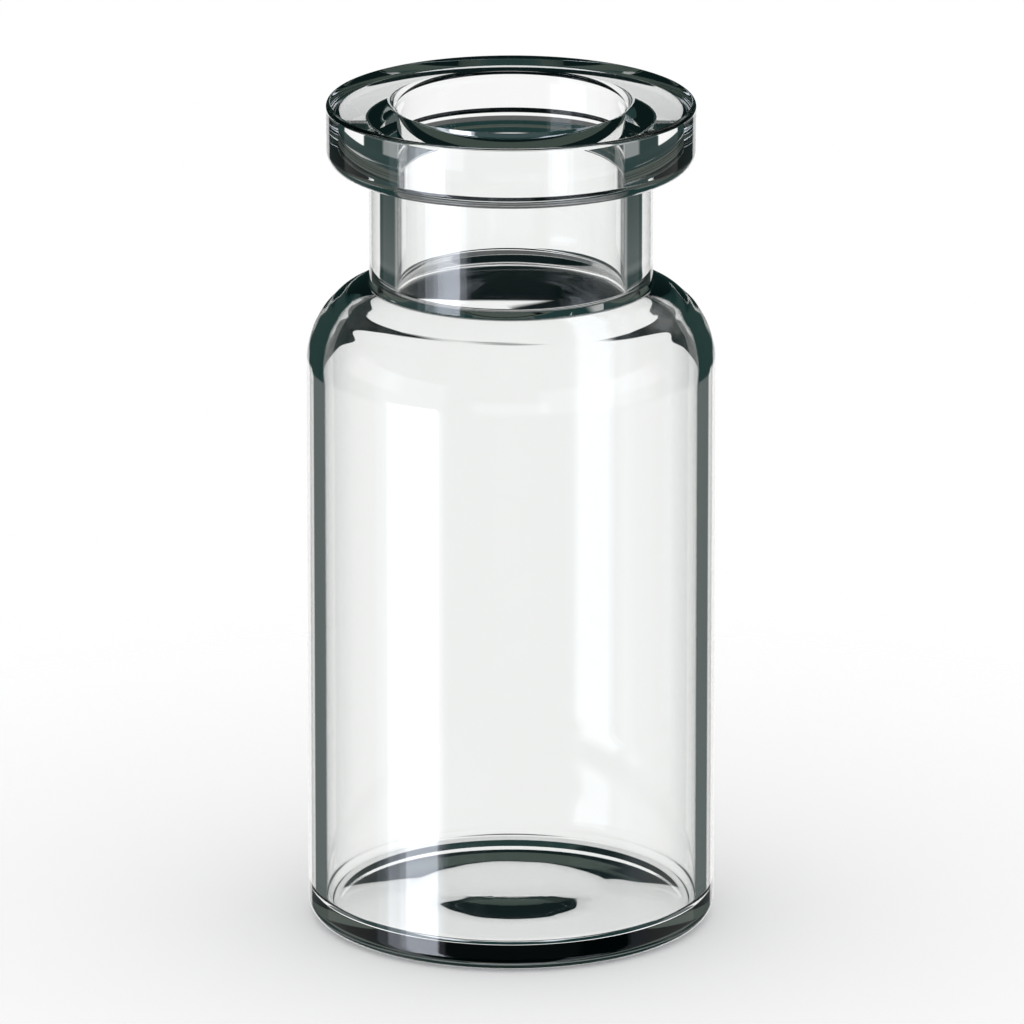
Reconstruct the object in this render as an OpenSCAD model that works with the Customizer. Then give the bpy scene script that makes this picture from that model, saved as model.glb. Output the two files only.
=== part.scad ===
// Glass sample vial: a wide-mouthed serum vial of clear tubing glass,
// drawn to shape in one piece, with a crimp flange round its mouth.
// Millimetres. +Z runs up the vial's axis, and the origin is the centre of
// the foot, on the plane that the vial stands on.

/* [Body] */
// Outside diameter of the straight body
body_d = 22.0; // [21:0.1:24]
// Height from the foot to the top of the flange
total_h = 45.4; // [40:0.1:60]
// Wall thickness of the body and the shoulder
wall_t = 0.95; // [0.8:0.05:1.3]

/* [Shoulder] */
// Depth of the shoulder's start below the top of the flange
shoulder_drop = 14.35; // [14:0.05:18]
// Outside radius of the round shoulder
shoulder_r = 4.45; // [3.5:0.05:5]
// Radius of the hollow where the shoulder runs into the neck
neck_fillet_r = 0.15; // [0.1:0.05:1]
// Radius of the round inside the shoulder
inner_shoulder_r = 4.05; // [3.4:0.05:5]
// Depth below the top of the flange at which the inside begins to round in
inner_shoulder_drop = 14.6; // [14.3:0.1:18]

/* [Neck] */
// Outside diameter of the neck
neck_d = 15.2; // [14.5:0.1:16]
// Inside diameter of the neck and the mouth
bore_d = 12.2; // [11.5:0.1:12.8]
// Length of the bore, from the top of the flange to the slope inside the shoulder
bore_depth = 9.65; // [9.6:0.05:10.6]
// Rounding of the bore's lower edge
throat_r = 0.25; // [0.1:0.05:0.6]

/* [Crimp flange] */
// Outside diameter of the flange
flange_d = 19.8; // [19.4:0.1:20.4]
// Height of the flange's outer side, with both rounded edges
flange_h = 3.45; // [2.8:0.05:4]
// Rounding of the flange's top edge
top_edge_r = 0.25; // [0.2:0.05:0.8]
// Radius of the flange's lower edge
lower_edge_r = 0.9; // [0.6:0.05:1.3]
// Slope of the flange's underside, in degrees
underside_slope = 4; // [0:1:15]
// Radius of the hollow between the underside and the neck
underside_fillet_r = 0.2; // [0.2:0.1:1]
// Rounding of the mouth's inner edge
mouth_r = 0.55; // [0.2:0.05:0.8]

/* [Base] */
// Thickness of the base at its edge
base_t = 1.25; // [0.8:0.05:1.6]
// Outside radius of the heel
heel_r = 0.95; // [0.6:0.05:2]
// Radius inside the heel
inner_heel_r = 0.6; // [0.2:0.05:1.5]
// Rise of the base's inside toward the middle
crown_h = 0.1; // [0.05:0.05:0.6]
// Width of the flat ring that the vial stands on
foot_w = 0.5; // [0.3:0.1:2]
// Rise of the hollow under the base, from the foot inward
hollow_h = 0.55; // [0.2:0.05:0.8]
// Depth by which the middle of the hollow dips again
dip_h = 0.4; // [0:0.05:0.6]
// Diameter of the dip
dip_d = 11.2; // [6:0.1:14]

/* [Hidden] */
$fn = 96;

body_r = body_d / 2;
inner_r = body_r - wall_t;
neck_r = neck_d / 2;
bore_r = bore_d / 2;
flange_r = flange_d / 2;
foot_r = body_r - heel_r;
hollow_r = foot_r - foot_w;
floor_r = inner_r - inner_heel_r;
dip_r = dip_d / 2;
hollow_steps = 12;
past = 1;

// Centres of the shoulder's outer and inner rounds
shoulder_x = body_r - shoulder_r;
shoulder_z = total_h - shoulder_drop;
inner_shoulder_x = inner_r - inner_shoulder_r;
inner_shoulder_z = total_h - inner_shoulder_drop;

// The hollow at the foot of the neck touches the shoulder's curve and the neck.
neck_fillet_x = neck_r + neck_fillet_r;
neck_fillet_z = shoulder_z
    + leg(shoulder_r + neck_fillet_r, neck_fillet_x - shoulder_x);

// The throat's rounding touches the bore. A straight slope runs from it to
// the round inside the shoulder and touches both.
throat_x = bore_r + throat_r;
throat_z = total_h - bore_depth;
slope_run = throat_x - inner_shoulder_x;
slope_rise = throat_z - inner_shoulder_z;
slope_angle = atan2(slope_rise, slope_run)
    - acos((inner_shoulder_r + throat_r) / norm([slope_run, slope_rise]));

// The flange's rounded edges touch its side, its top and its underside.
top_edge_x = flange_r - top_edge_r;
top_edge_z = total_h - top_edge_r;
lower_edge_x = flange_r - lower_edge_r;
lower_edge_z = total_h - flange_h + lower_edge_r;

// The underside touches the lower edge's curve and slopes down to the neck.
underside_x = lower_edge_x - lower_edge_r * sin(underside_slope);
underside_z = lower_edge_z - lower_edge_r * cos(underside_slope);
underside_fillet_x = neck_r + underside_fillet_r;
underside_fillet_z = underside_at(underside_fillet_x)
    - underside_fillet_r / cos(underside_slope);

// Length of a right triangle's other leg
function leg(long_side, short_side) =
    sqrt(long_side * long_side - short_side * short_side);

// Height of the underside at a radius
function underside_at(radius) =
    underside_z - (underside_x - radius) * tan(underside_slope);

// Radius of the sphere whose cap has this radius and height
function cap_sphere_r(radius, height) =
    (radius * radius + height * height) / (2 * height);

// Height of the hollow under the base at a radius, without and with its dip
function hollow_at(radius) = hollow_h * (1 - pow(radius / hollow_r, 2));
function dipped_at(radius) =
    hollow_at(radius) - dip_h * pow(1 - pow(radius / dip_r, 2), 2);

// A circle of the section
module disc(x, z, radius) {
    translate([x, z]) circle(radius);
}

// A box of the section, from the axis out to a radius
module slab(radius, low, high) {
    translate([0, low]) square([radius, high - low]);
}

// The body and its shoulder, as the outside sees them
module body_outline() {
    slab(body_r, heel_r, shoulder_z);
    slab(foot_r, 0, shoulder_z);
    disc(foot_r, heel_r, heel_r);
    disc(shoulder_x, shoulder_z, shoulder_r);
    slab(shoulder_x, shoulder_z, shoulder_z + shoulder_r);
}

// The neck, with the hollow where it leaves the shoulder
module neck_outline() {
    slab(neck_r, shoulder_z, top_edge_z);
    difference() {
        polygon([
            [shoulder_x, shoulder_z],
            [neck_fillet_x, neck_fillet_z],
            [shoulder_x, neck_fillet_z]
        ]);
        disc(neck_fillet_x, neck_fillet_z, neck_fillet_r);
    }
}

// The crimp flange: straight side, rounded edges and sloping underside
module flange_outline() {
    slab(top_edge_x, lower_edge_z, total_h);
    slab(flange_r, lower_edge_z, top_edge_z);
    disc(top_edge_x, top_edge_z, top_edge_r);
    disc(lower_edge_x, lower_edge_z, lower_edge_r);
    polygon([
        [neck_r - past, underside_at(neck_r - past)],
        [underside_x, underside_z],
        [lower_edge_x, lower_edge_z],
        [neck_r - past, lower_edge_z]
    ]);
    difference() {
        polygon([
            [neck_r - past, underside_fillet_z],
            [underside_fillet_x, underside_fillet_z],
            [underside_fillet_x - underside_fillet_r * sin(underside_slope),
                underside_fillet_z + underside_fillet_r * cos(underside_slope)],
            [underside_fillet_x, top_edge_z],
            [neck_r - past, top_edge_z]
        ]);
        disc(underside_fillet_x, underside_fillet_z, underside_fillet_r);
    }
}

// The space inside the body, up to the shoulder's inner curve
module body_space() {
    difference() {
        union() {
            slab(inner_r, base_t + inner_heel_r, inner_shoulder_z);
            slab(floor_r, base_t, inner_shoulder_z);
            disc(floor_r, base_t + inner_heel_r, inner_heel_r);
            disc(inner_shoulder_x, inner_shoulder_z, inner_shoulder_r);
        }
        base_cap(floor_r, crown_h, base_t);
    }
}

// The bore through the neck, with the slope under it and both its edges rounded
module bore_space() {
    slab(bore_r, inner_shoulder_z, total_h + past);
    difference() {
        polygon([
            [bore_r - past, throat_z],
            [throat_x, throat_z],
            [throat_x - throat_r * cos(slope_angle),
                throat_z - throat_r * sin(slope_angle)],
            [inner_shoulder_x + inner_shoulder_r * cos(slope_angle),
                inner_shoulder_z + inner_shoulder_r * sin(slope_angle)],
            [inner_shoulder_x, inner_shoulder_z],
            [bore_r - past, inner_shoulder_z]
        ]);
        disc(throat_x, throat_z, throat_r);
    }
    difference() {
        slab(bore_r + mouth_r, total_h - mouth_r, total_h + past);
        disc(bore_r + mouth_r, total_h - mouth_r, mouth_r);
    }
}

// A cap of a sphere that stands on a level, centred on the axis
module base_cap(radius, height, level) {
    sphere_r = cap_sphere_r(radius, height);
    disc(0, level + height - sphere_r, sphere_r);
}

// The hollow under the base, with the dip in its middle
module base_hollow() {
    polygon([
        [0, -past],
        [hollow_r, -past],
        for (i = [hollow_steps : -1 : 1])
            let (r = dip_r + (hollow_r - dip_r) * i / hollow_steps) [r, hollow_at(r)],
        for (i = [hollow_steps : -1 : 0])
            let (r = dip_r * i / hollow_steps) [r, dipped_at(r)]
    ]);
}

// Half of the vial's section, right of the axis
module section() {
    intersection() {
        difference() {
            union() {
                body_outline();
                neck_outline();
                flange_outline();
            }
            body_space();
            bore_space();
            base_hollow();
        }
        slab(body_r + past, -past, total_h + past);
    }
}

module vial() {
    color([0.86, 0.93, 0.91, 0.35]) rotate_extrude($fn = 180) section();
}

vial();
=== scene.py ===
"""Glass sample vial: the dressed glass, its studio and its camera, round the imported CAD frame."""
import math

import bpy
import numpy as np
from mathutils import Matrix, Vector


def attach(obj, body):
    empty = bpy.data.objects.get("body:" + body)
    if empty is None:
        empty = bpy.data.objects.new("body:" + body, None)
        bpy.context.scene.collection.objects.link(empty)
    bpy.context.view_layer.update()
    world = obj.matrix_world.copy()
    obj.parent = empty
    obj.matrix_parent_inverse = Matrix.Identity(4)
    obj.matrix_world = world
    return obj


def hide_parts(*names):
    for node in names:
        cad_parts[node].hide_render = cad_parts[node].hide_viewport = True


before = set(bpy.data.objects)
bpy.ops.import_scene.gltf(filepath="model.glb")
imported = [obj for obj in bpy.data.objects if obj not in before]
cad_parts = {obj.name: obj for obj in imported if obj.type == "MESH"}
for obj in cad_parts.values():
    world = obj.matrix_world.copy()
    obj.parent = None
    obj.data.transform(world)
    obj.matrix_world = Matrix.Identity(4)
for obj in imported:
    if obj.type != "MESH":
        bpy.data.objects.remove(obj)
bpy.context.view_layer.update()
MM = 0.001
DEGREES = 180 / math.pi

# ---- section of the vial, in mm and degrees, after the CAD source's values ----
BODY_R = 11.0
TOTAL_H = 45.4
WALL = 0.95
SHOULDER_Z = 31.05
SHOULDER_R = 4.45
NECK_R = 7.6
NECK_FILLET = 0.15
BORE_R = 6.1
THROAT_Z = 35.75
THROAT_R = 0.25
INNER_SHOULDER_R = 4.05
INNER_SHOULDER_Z = 30.8
FLANGE_R = 9.9
FLANGE_FOOT_R = 9.87
TOP_EDGE_R = 0.25
LOWER_EDGE_R = 0.9
UNDERSIDE_Z = 42.0
UNDERSIDE_SLOPE = 4.0
UNDERSIDE_FILLET = 0.2
MOUTH_R = 0.55
HEEL_R = 0.95
INNER_HEEL_R = 0.6
BASE_T = 1.25
CROWN_H = 0.1
FOOT_W = 0.5
HOLLOW_H = 0.55
DIP_H = 0.4
DIP_R = 5.6

# ---- fineness of the mesh: segments round, rings along walls, and degrees a ring in arcs ----
SEGMENTS = 224
BODY_RINGS = 16
NECK_RINGS = 12
BORE_RINGS = 24
FACE_RINGS = 44
ARC_STEP = 5.0
SHOULDER_STEP = 1.8
SMALL_STEP = 8.0
THROAT_STEP = 10.0
INNER_HEEL_STEP = 4.0

# ---- slight waves that drawing and moulding leave in the glass ----
# Section (0 outer, 1 inner), height or radius at the middle, spread, depth, wavelength along the
# section (all mm), and the waves round the axis.
NECK_WAVES = [
    (1, 35.3, 0.7, 0.055, 0.6, (1, 2, 3)),
    (0, 34.5, 0.9, 0.025, 1.2, (2, 3, 4)),
]
BASE_WAVES = [
    (1, 3.6, 2.2, 0.004, 2.2, (7, 11, 17)),
    (0, 5.0, 2.5, 0.004, 2.6, (5, 8, 13)),
]
WAVE_BEND = 0.9  # radians by which a wave wanders along the section on its way round
WAVE_PHASE = 1.7  # radians between one wave of a row and the next
WAVE_STRETCH = 0.31  # part by which each next wave of a row is longer
BASE_TOP = 3.0  # height below which the base's waves lie
OUT_OF_REACH = 99.0  # a radius that none of them reaches
AXIS_GUARD = 0.5  # least radius by which the slope round the axis is divided
ON_AXIS = 1e-6  # a ring narrower than this is one point on the axis

# The bearing of each segment, in radians.
TURN = 2 * np.pi * np.arange(SEGMENTS)[None, :] / SEGMENTS


def arc(centre_r, centre_z, radius, start, end, side, step=ARC_STEP):
    """Points and outward normals along an arc; side is -1 where the glass lies outside the arc."""
    count = max(2, int(abs(end - start) / step) + 1)
    points = []
    for i in range(count + 1):
        a = math.radians(start + (end - start) * i / count)
        c, s = math.cos(a), math.sin(a)
        points.append((centre_r + radius * c, centre_z + radius * s, side * c, side * s))
    return points


def straight(z_from, z_to, r, normal_r, count):
    """Points and outward normals up or down a straight wall, without its ends."""
    return [(r, z_from + (z_to - z_from) * i / count, normal_r, 0.0) for i in range(1, count)]


def dome(r, height, radius, power):
    """Height and slope of a round dome at a radius; power 2 runs out flat at its rim."""
    if r >= radius:
        return 0.0, 0.0
    u = 1.0 - (r / radius) ** 2
    return height * u**power, -2.0 * power * height * u ** (power - 1) * r / radius**2


def face_across(r_from, r_to, z, domes, up):
    """A round face that carries domes, from one radius to another; up is -1 where it looks down."""
    points = []
    for i in range(FACE_RINGS + 1):
        r = r_from + (r_to - r_from) * i / FACE_RINGS
        shapes = [dome(r, *d) for d in domes]
        slope = sum(s for _, s in shapes)
        length = math.hypot(1.0, slope)
        points.append((r, z + sum(h for h, _ in shapes), -up * slope / length, up / length))
    return points


def body_outline():
    """From under the middle of the base up to the neck, and the height at which the neck starts."""
    foot_r = BODY_R - HEEL_R
    hollow_r = foot_r - FOOT_W
    points = face_across(0.0, hollow_r, 0.0, [(HOLLOW_H, hollow_r, 1), (-DIP_H, DIP_R, 2)], -1)
    points += arc(foot_r, HEEL_R, HEEL_R, -90, 0, 1)
    points += straight(HEEL_R, SHOULDER_Z, BODY_R, 1.0, BODY_RINGS)
    arc_r = BODY_R - SHOULDER_R
    reach = NECK_R + NECK_FILLET - arc_r
    neck_z = SHOULDER_Z + math.sqrt((SHOULDER_R + NECK_FILLET) ** 2 - reach**2)
    meet = math.degrees(math.atan2(neck_z - SHOULDER_Z, reach))
    points += arc(arc_r, SHOULDER_Z, SHOULDER_R, 0, meet, 1, SHOULDER_STEP)
    points += arc(NECK_R + NECK_FILLET, neck_z, NECK_FILLET, 180 + meet, 180, -1, SMALL_STEP)[1:]
    return points, neck_z


def flange_outline(neck_z):
    """Up the neck, round the flange and over the mouth's edge to the bore."""
    # The underside and the side are lines, each with a normal and a distance from the origin.
    slope = math.radians(UNDERSIDE_SLOPE)
    under_n = (math.sin(slope), -math.cos(slope))
    under_d = under_n[0] * FLANGE_FOOT_R + under_n[1] * UNDERSIDE_Z
    lean = math.atan2(FLANGE_R - FLANGE_FOOT_R, TOTAL_H - UNDERSIDE_Z)
    side_angle = -math.degrees(lean)
    side_n = (math.cos(lean), -math.sin(lean))
    side_d = side_n[0] * FLANGE_FOOT_R + side_n[1] * UNDERSIDE_Z

    fillet_r = NECK_R + UNDERSIDE_FILLET
    root_z = (under_n[0] * fillet_r - under_d - UNDERSIDE_FILLET) / math.cos(slope)
    points = straight(neck_z, root_z, NECK_R, 1.0, NECK_RINGS)
    points += arc(fillet_r, root_z, UNDERSIDE_FILLET, 180, 90 + UNDERSIDE_SLOPE, -1, SMALL_STEP)

    # The lower edge's centre lies its radius inside both lines.
    det = side_n[0] * under_n[1] - side_n[1] * under_n[0]
    a, b = side_d - LOWER_EDGE_R, under_d - LOWER_EDGE_R
    edge_r = (a * under_n[1] - side_n[1] * b) / det
    edge_z = (side_n[0] * b - under_n[0] * a) / det
    points += arc(edge_r, edge_z, LOWER_EDGE_R, UNDERSIDE_SLOPE - 90, side_angle, 1)

    top_z = TOTAL_H - TOP_EDGE_R
    top_r = (side_d - TOP_EDGE_R - side_n[1] * top_z) / side_n[0]
    points += arc(top_r, top_z, TOP_EDGE_R, side_angle, 90, 1, SMALL_STEP)
    points += arc(BORE_R + MOUTH_R, TOTAL_H - MOUTH_R, MOUTH_R, 90, 180, 1, SMALL_STEP)
    return points


def outer_section():
    """From under the middle of the base, round the outside, to the top of the bore."""
    points, neck_z = body_outline()
    return points + flange_outline(neck_z)


def inner_section():
    """From the top of the bore down the inside to the middle of the base."""
    inner_r = BODY_R - WALL
    throat_r = BORE_R + THROAT_R
    arc_r = inner_r - INNER_SHOULDER_R
    across, rise = throat_r - arc_r, THROAT_Z - INNER_SHOULDER_Z
    tilt = math.acos((THROAT_R + INNER_SHOULDER_R) / math.hypot(across, rise))
    meet = math.degrees(math.atan2(rise, across) - tilt)
    points = straight(TOTAL_H - MOUTH_R, THROAT_Z, BORE_R, -1.0, BORE_RINGS)
    points += arc(throat_r, THROAT_Z, THROAT_R, 180, 180 + meet, 1, THROAT_STEP)
    points += arc(arc_r, INNER_SHOULDER_Z, INNER_SHOULDER_R, meet, 0, -1, SHOULDER_STEP)
    floor_r = inner_r - INNER_HEEL_R
    heel_z = BASE_T + INNER_HEEL_R
    points += straight(INNER_SHOULDER_Z, heel_z, inner_r, -1.0, BODY_RINGS)
    points += arc(floor_r, heel_z, INNER_HEEL_R, 0, -90, -1, INNER_HEEL_STEP)
    points += face_across(floor_r, 0.0, BASE_T, [(CROWN_H, floor_r, 1)], 1)[1:]
    return points


def waves(r, z, face, length):
    """Depth of the waves on a section's rings and segments."""
    total = np.zeros((len(length), SEGMENTS))
    base_r = np.where(z < BASE_TOP, r, OUT_OF_REACH)
    for at, table in ((z, NECK_WAVES), (base_r, BASE_WAVES)):
        for side, middle, spread, depth, wavelength, counts in table:
            if side != face:
                continue
            window = depth * np.exp(-(((at - middle) / spread) ** 2))
            for n, k in enumerate(counts):
                bend = WAVE_BEND * np.sin(k * TURN + WAVE_PHASE * n + k)
                stretched = wavelength * (1 + WAVE_STRETCH * n)
                wave = np.sin(2 * np.pi * length[:, None] / stretched + bend)
                total += window / len(counts) * wave
    return total


def rippled(section, face):
    """Positions and normals of a section's rings, with the waves in both."""
    r, z, nr, nz = (np.array(v)[:, None] for v in zip(*section))
    steps = np.hypot(np.diff(r[:, 0]), np.diff(z[:, 0]))
    length = np.concatenate([[0.0], np.cumsum(steps)])
    depth = waves(r, z, face, length)
    along = np.gradient(depth, length, axis=0)
    step = 2 * np.pi / SEGMENTS
    rise = (np.roll(depth, -1, 1) - np.roll(depth, 1, 1)) / (2 * step)
    round_axis = rise / np.maximum(r, AXIS_GUARD)
    pr, pz = r + depth * nr, z + depth * nz
    mr, mz = nr + along * nz, nz - along * nr
    c, s = np.cos(TURN), np.sin(TURN)
    spots = np.stack([pr * c, pr * s, pz], -1)
    normals = np.stack([mr * c + round_axis * s, mr * s - round_axis * c, mz], -1)
    return spots, normals / np.linalg.norm(normals, axis=-1, keepdims=True)


def add_mesh(name, verts, faces):
    """A mesh object in the scene."""
    mesh = bpy.data.meshes.new(name)
    mesh.from_pydata(verts, [], faces)
    piece = bpy.data.objects.new(name, mesh)
    bpy.context.scene.collection.objects.link(piece)
    return piece


def glass_piece():
    """The vial turned as one closed mesh, with the section's own normals."""
    verts, normals, rings = [], [], []
    for face, section in enumerate((outer_section(), inner_section())):
        spots, directions = rippled(section, face)
        for i, (r, _, _, nz) in enumerate(section):
            ring = [len(verts)]
            if r < ON_AXIS:
                verts.append((0.0, 0.0, float(spots[i, :, 2].mean()) * MM))
                normals.append((0.0, 0.0, math.copysign(1.0, nz)))
            else:
                ring = list(range(len(verts), len(verts) + SEGMENTS))
                verts += [tuple(p) for p in (spots[i] * MM).tolist()]
                normals += [tuple(n) for n in directions[i].tolist()]
            rings.append(ring)
    faces = []
    for low, high in zip(rings[:-1], rings[1:]):
        for k in range(SEGMENTS):
            n = (k + 1) % SEGMENTS
            if len(low) == 1:
                faces.append((low[0], high[n], high[k]))
            elif len(high) == 1:
                faces.append((low[k], low[n], high[0]))
            else:
                faces.append((low[k], low[n], high[n], high[k]))
    piece = add_mesh("vial_glass", verts, faces)
    mesh = piece.data
    mesh.polygons.foreach_set("use_smooth", [True] * len(mesh.polygons))
    mesh.normals_split_custom_set_from_vertices(normals)
    return piece


GLASS_COLOUR = (0.995, 1.0, 0.993, 1.0)
GLASS_IOR = 1.485


def glass():
    """Clear glass with the faintest green."""
    mat = bpy.data.materials.new("clear_glass")
    mat.use_nodes = True
    bsdf = mat.node_tree.nodes["Principled BSDF"]
    bsdf.inputs["Base Color"].default_value = GLASS_COLOUR
    bsdf.inputs["Roughness"].default_value = 0.0
    bsdf.inputs["IOR"].default_value = GLASS_IOR
    bsdf.inputs["Transmission Weight"].default_value = 1.0
    return mat


# ---- the camera: degrees and metres, with its sensor and lens in mm ----
CAMERA_ELEVATION = 16.7
CAMERA_TARGET = (0.00005, 0.0, 0.022516)
CAMERA_DISTANCE = 0.700
SENSOR_WIDTH = 36.0
LENS = 456.7


def camera():
    """A long lens a little above the vial, square to it."""
    elevation = math.radians(CAMERA_ELEVATION)
    back = Vector((0.0, -math.cos(elevation), math.sin(elevation)))
    data = bpy.data.cameras.new("camera")
    data.sensor_width = SENSOR_WIDTH
    data.lens = LENS
    cam = bpy.data.objects.new("camera", data)
    bpy.context.scene.collection.objects.link(cam)
    cam.location = Vector(CAMERA_TARGET) + back * CAMERA_DISTANCE
    cam.rotation_mode = "QUATERNION"
    cam.rotation_quaternion = (-back).to_track_quat("-Z", "Y")
    bpy.context.scene.camera = cam


class Graph:
    """Short names for building a node tree."""

    def __init__(self, tree):
        self.tree = tree

    def add(self, kind, **settings):
        """A node with its settings."""
        node = self.tree.nodes.new(kind)
        for name, value in settings.items():
            setattr(node, name, value)
        return node

    def join(self, source, socket):
        """Link a socket, or set a number or a colour."""
        if isinstance(source, (int, float, tuple)):
            socket.default_value = source
        else:
            self.tree.links.new(source, socket)

    def math(self, operation, a, b=0.0, clamp=False):
        """The result of a sum."""
        node = self.add("ShaderNodeMath", operation=operation, use_clamp=clamp)
        self.join(a, node.inputs[0])
        self.join(b, node.inputs[1])
        return node.outputs[0]

    def plus(self, a, b):
        return self.math("ADD", a, b)

    def times(self, a, b):
        return self.math("MULTIPLY", a, b)

    def at_least(self, count, least):
        """1 where a whole number is this large."""
        return self.math("GREATER_THAN", count, least - 0.5)

    def at_most(self, count, most):
        """1 where a whole number is this small."""
        return self.math("LESS_THAN", count, most + 0.5)

    def ramp(self, value, low, high):
        """A smooth step from 0 to 1."""
        node = self.add("ShaderNodeMapRange", interpolation_type="SMOOTHSTEP")
        self.join(value, node.inputs["Value"])
        node.inputs["From Min"].default_value = low
        node.inputs["From Max"].default_value = high
        return node.outputs["Result"]

    def fall(self, value, low, high):
        """A smooth step from 1 to 0."""
        return self.math("SUBTRACT", 1.0, self.ramp(value, low, high))

    def band(self, value, low, high, soft):
        """1 between low and high, with soft edges."""
        rise = self.ramp(value, low - soft, low + soft)
        end = self.ramp(value, high - soft, high + soft)
        return self.math("SUBTRACT", rise, end, clamp=True)

    def blend(self, a, b, factor):
        """From a to b, both numbers."""
        node = self.add("ShaderNodeMix", data_type="FLOAT")
        self.join(factor, node.inputs["Factor"])
        self.join(a, node.inputs["A"])
        self.join(b, node.inputs["B"])
        return node.outputs["Result"]

    def blend_colours(self, a, b, factor, clamp=True):
        """From a to b, both colours; unclamped, a factor over 1 makes b brighter."""
        node = self.add("ShaderNodeMix", data_type="RGBA", clamp_factor=clamp)
        colour_a, colour_b = node.inputs[6], node.inputs[7]
        self.join(factor, node.inputs["Factor"])
        self.join(a, colour_a)
        self.join(b, colour_b)
        return node.outputs[2]


# ---- what the glass reflects ----
# Azimuth of the centre, half width, low and high edge, softness of the edges (all degrees), and
# strength. Azimuth 0 is straight behind the vial and 180 is the camera's side.
SOFTBOXES = [
    (-126.0, 12.0, -40.0, -12.0, 1.5, 1.9),
    (-120.0, 22.0, -45.0, 22.0, 1.5, 0.6),
    (128.0, 36.0, -12.0, 20.0, 1.5, 0.5),
    (110.0, 28.0, 3.0, 22.0, 1.5, 0.4),
    (-92.0, 20.0, 3.0, 22.0, 1.5, 0.5),
    (0.0, 22.0, -42.0, -12.0, 1.5, 1.05),
    (180.0, 22.0, -12.0, 4.0, 1.5, 0.6),
    (180.0, 40.0, -40.0, -12.0, 3.0, 0.05),
    (38.0, 15.0, 20.0, 50.0, 3.0, 0.4),
    (-102.0, 14.0, -75.0, -40.0, 3.0, 0.8),
    (128.0, 14.0, -75.0, -40.0, 3.0, 0.8),
    (0.0, 110.0, -40.0, -15.5, 0.5, 0.11),
    (-80.0, 28.0, -40.0, -13.0, 2.0, 0.25),
    (80.0, 28.0, -40.0, -13.0, 2.0, 0.25),
]
# The left softbox's extra glare, which shows only in the outermost surface.
GLARE = [
    (-128.0, 10.0, -40.0, -12.0, 1.0, 3.2),
    (-122.0, 16.0, -40.0, -12.0, 1.5, 2.6),
]
# The room between the softboxes: its level, and the colour that its darkest parts keep.
STUDIO_DARK = 0.014
DARK_COLOUR = (0.0, 0.025, 0.023, 1.0)
# Softboxes farther round than this are cool, those behind the vial are white.
COOL_FROM = (92.0, 98.0)
COOL_COLOUR = (0.9, 0.98, 1.1, 1.0)
# From this reflection on, the glass's small flaws have blurred the studio to one dull tone.
BLURRED_FROM = 3
BLURRED_COLOUR = (0.072, 0.09, 0.078, 1.0)

# ---- what shows through the glass: low and high edges, in degrees of elevation ----
PANEL = (-40.0, 2.0)
PANEL_SOFT = 1.0
GAP = (-13.0, -4.6)
GAP_SOFT = 0.3
WING = (-19.5, -13.0)
WING_SOFT = 0.5
UNDER_ENDS = (-61.0, -59.0)
OVERHEAD_STARTS = (1.0, 3.0)
OVERHEAD = 0.12
# Degrees round from straight behind the vial.
WING_STARTS = (28.0, 32.0)
GAP_ENDS = (50.0, 54.0)

# The light that reaches the floor through the glass, where the open floor gets 1.
SHADE = 0.7

BLACK = (0.0, 0.0, 0.0, 1.0)
WHITE = (1.0, 1.0, 1.0, 1.0)


def azimuth(g, x, y, centre):
    """Degrees round from a bearing; 0 is straight behind the vial."""
    c, s = math.cos(math.radians(centre)), math.sin(math.radians(centre))
    across = g.math("SUBTRACT", g.times(x, c), g.times(y, s))
    along = g.plus(g.times(x, s), g.times(y, c))
    return g.times(g.math("ARCTAN2", across, along), DEGREES)


def softboxes(g, x, y, elevation, boxes):
    """The sum of some softboxes."""
    total = 0.0
    for centre, half, low, high, soft, strength in boxes:
        shape = g.times(
            g.band(azimuth(g, x, y, centre), -half, half, soft),
            g.band(elevation, low, high, soft),
        )
        total = g.plus(total, g.times(shape, strength))
    return total


def panels(g, facing, elevation):
    """White panels low and level, with a dark gap between them behind the vial."""
    gap = g.band(elevation, *GAP, GAP_SOFT)
    wings = g.times(g.band(elevation, *WING, WING_SOFT), g.ramp(facing, *WING_STARTS))
    dark = g.times(g.plus(gap, wings), g.fall(facing, *GAP_ENDS))
    white = g.math("SUBTRACT", g.band(elevation, *PANEL, PANEL_SOFT), dark, clamp=True)
    under = g.fall(elevation, *UNDER_ENDS)
    overhead = g.times(g.ramp(elevation, *OVERHEAD_STARTS), OVERHEAD)
    return g.plus(g.plus(white, under), overhead)


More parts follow.
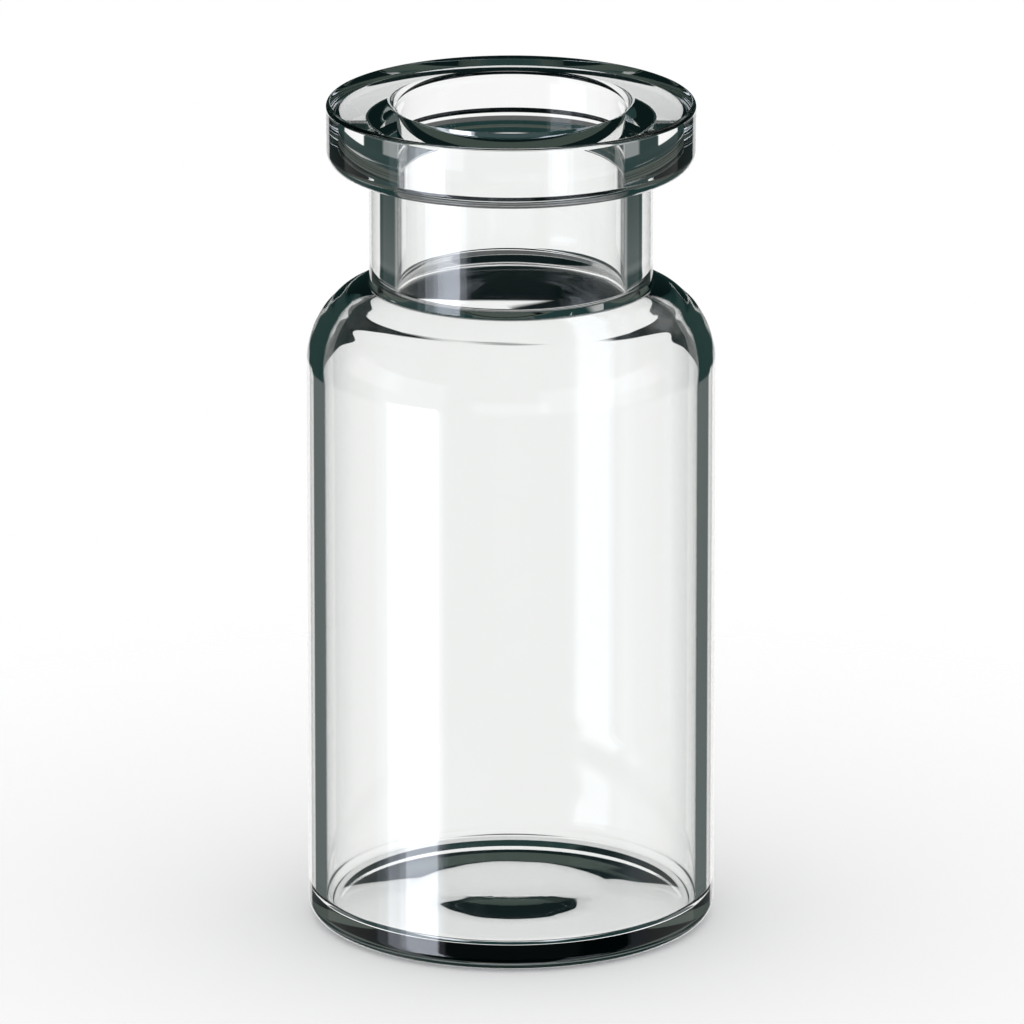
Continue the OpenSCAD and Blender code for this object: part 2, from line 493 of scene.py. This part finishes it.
def studio():
    """White to the camera, panels through the glass, a dim room with softboxes in reflections."""
    world = bpy.data.worlds.new("studio")
    bpy.context.scene.world = world
    world.cycles.sampling_method = "NONE"  # no map of the bright spots, which takes long to make
    world.use_nodes = True
    tree = world.node_tree
    tree.nodes.clear()
    g = Graph(tree)
    ray = g.add("ShaderNodeLightPath").outputs
    split = g.add("ShaderNodeSeparateXYZ")
    g.join(g.add("ShaderNodeTexCoord").outputs["Generated"], split.inputs[0])
    x, y, z = split.outputs
    elevation = g.times(g.math("ARCSINE", z), DEGREES)
    facing = g.math("ABSOLUTE", azimuth(g, x, y, 0.0))

    specular = g.math("MAXIMUM", ray["Is Glossy Ray"], ray["Is Transmission Ray"])
    direct = g.at_most(ray["Diffuse Depth"], 0)
    bounced = g.at_least(ray["Glossy Depth"], 1)
    blurred = g.at_least(ray["Glossy Depth"], BLURRED_FROM)
    once = g.at_most(ray["Glossy Depth"], 1)
    outermost = g.times(once, g.at_most(ray["Transmission Depth"], 0))

    glare = g.times(softboxes(g, x, y, elevation, GLARE), outermost)
    lights = g.plus(softboxes(g, x, y, elevation, SOFTBOXES), glare)
    reflected = g.plus(lights, STUDIO_DARK)
    seen = g.blend(panels(g, facing, elevation), reflected, bounced)
    shade = g.times(specular, g.math("SUBTRACT", 1.0, direct))
    ambient = g.blend(1.0, SHADE, shade)
    level = g.blend(ambient, seen, g.times(specular, direct))

    dark = g.blend_colours(BLACK, DARK_COLOUR, bounced)
    cool = g.times(bounced, g.ramp(facing, *COOL_FROM))
    lit = g.blend_colours(WHITE, COOL_COLOUR, cool)
    colour = g.blend_colours(dark, lit, level, clamp=False)
    colour = g.blend_colours(colour, BLURRED_COLOUR, g.times(direct, blurred))
    background = g.add("ShaderNodeBackground")
    g.join(colour, background.inputs["Color"])
    g.join(background.outputs[0], g.add("ShaderNodeOutputWorld").inputs["Surface"])


# ---- the floor, in mm: white where it lies open to the light, fading out before its edge ----
FLOOR_R = 70.0
FLOOR_SIDES = 96
FLOOR_DROP = 0.02
FADE_FROM, FADE_TO = 30.0, 62.0


def floor():
    """A white disc that shows to the camera alone, to carry the glass's soft shadow."""
    ring = [2 * math.pi * k / FLOOR_SIDES for k in range(FLOOR_SIDES)]
    verts = [(FLOOR_R * MM * math.cos(a), FLOOR_R * MM * math.sin(a), 0.0) for a in ring]
    disc = add_mesh("floor", verts, [range(FLOOR_SIDES)])
    disc.location.z = -FLOOR_DROP * MM
    mat = bpy.data.materials.new("floor_white")
    mat.use_nodes = True
    mat.node_tree.nodes.clear()
    g = Graph(mat.node_tree)
    ray = g.add("ShaderNodeLightPath").outputs
    length = g.add("ShaderNodeVectorMath", operation="LENGTH")
    g.join(g.add("ShaderNodeTexCoord").outputs["Object"], length.inputs[0])
    fade = g.fall(length.outputs["Value"], FADE_FROM * MM, FADE_TO * MM)
    white = g.add("ShaderNodeBsdfDiffuse")
    white.inputs["Color"].default_value = WHITE
    mix = g.add("ShaderNodeMixShader")
    g.join(g.times(fade, ray["Is Camera Ray"]), mix.inputs[0])
    g.join(g.add("ShaderNodeBsdfTransparent").outputs[0], mix.inputs[1])
    g.join(white.outputs[0], mix.inputs[2])
    g.join(mix.outputs[0], g.add("ShaderNodeOutputMaterial").inputs["Surface"])
    disc.data.materials.append(mat)


camera()
studio()
floor()
vial_glass = glass_piece()
vial_glass.data.materials.append(glass())
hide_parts("vial")
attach(vial_glass, "root")

bpy.context.scene.view_settings.view_transform = "Standard"
